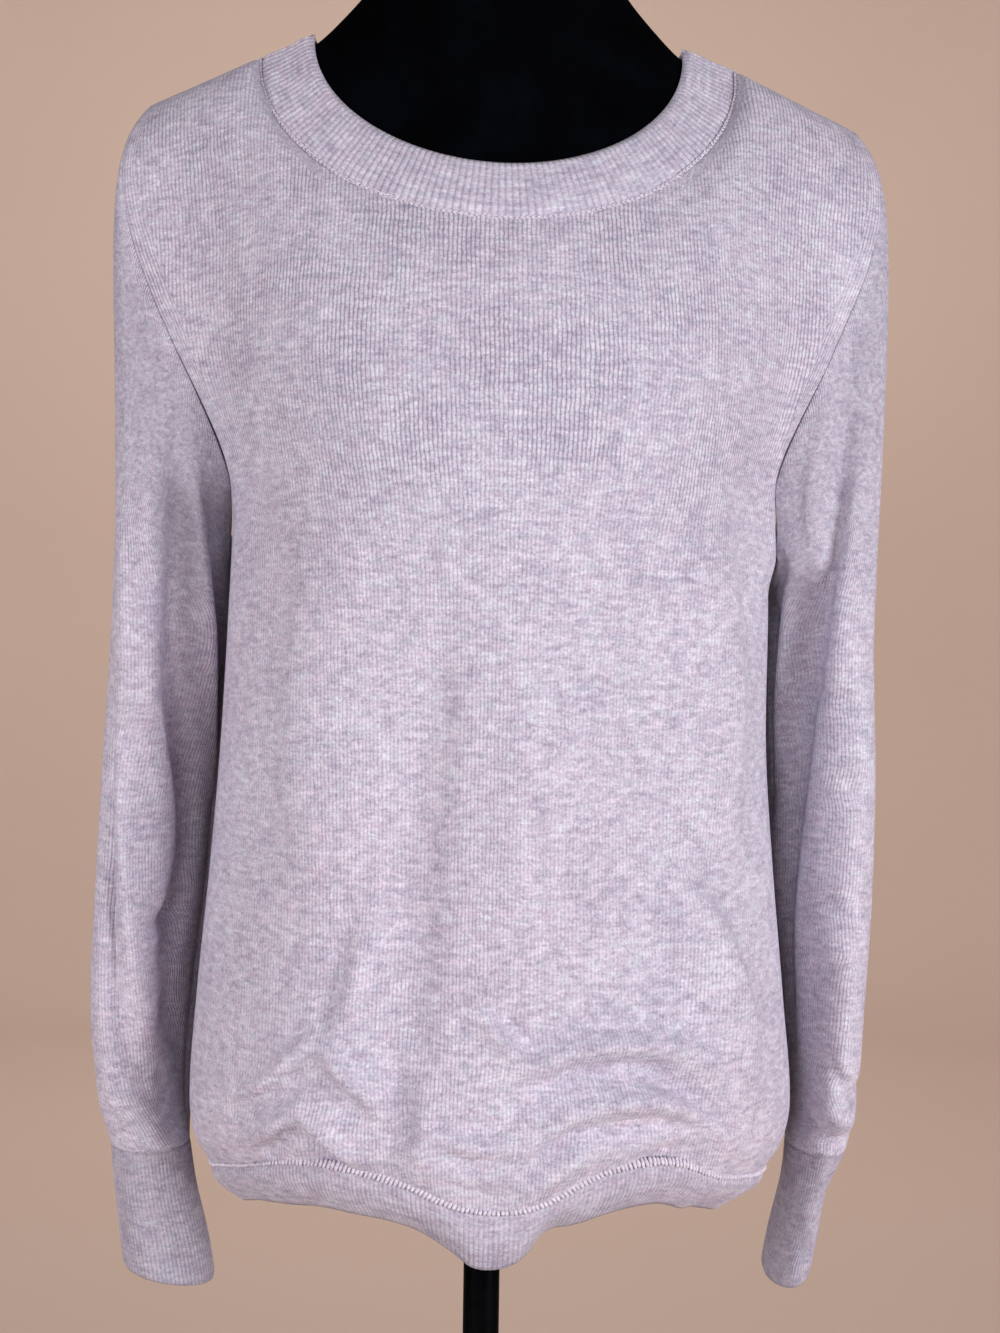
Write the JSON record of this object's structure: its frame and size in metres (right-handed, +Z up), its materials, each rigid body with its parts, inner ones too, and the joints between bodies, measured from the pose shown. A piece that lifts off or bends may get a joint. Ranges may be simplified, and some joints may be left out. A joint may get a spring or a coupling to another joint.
{
  "type": "crewneck sweater on a dress form",
  "caption": "Fine knit long-sleeved crewneck sweater with ribbed neckband, cuffs and hem band, worn by a limbless velvet dress form on a pole stand",
  "frame": {"origin": "centre of the round base's underside, on the floor", "axes": "+Z up, -Y is the front of the sweater, +X is the viewer's right when facing the front"},
  "size_m": [0.4289, 0.35, 1.4386],
  "materials": {
    "knit": "heathered lavender plain knit, soft and slightly fuzzy",
    "rib": "heathered lavender rib knit",
    "velvet": "black velvet with a soft sheen",
    "enamel": "black satin enamel on steel"
  },
  "bodies": {
    "root": {"front": "knit", "back": "knit", "sleeve_left": "knit", "sleeve_right": "knit", "neckband": "rib", "hem_band": "rib", "cuff_left": "rib", "cuff_right": "rib", "form_torso": "velvet", "pole_socket": "enamel", "pole": "enamel", "base_collar": "enamel", "base": "enamel"}
  },
  "joints": []
}
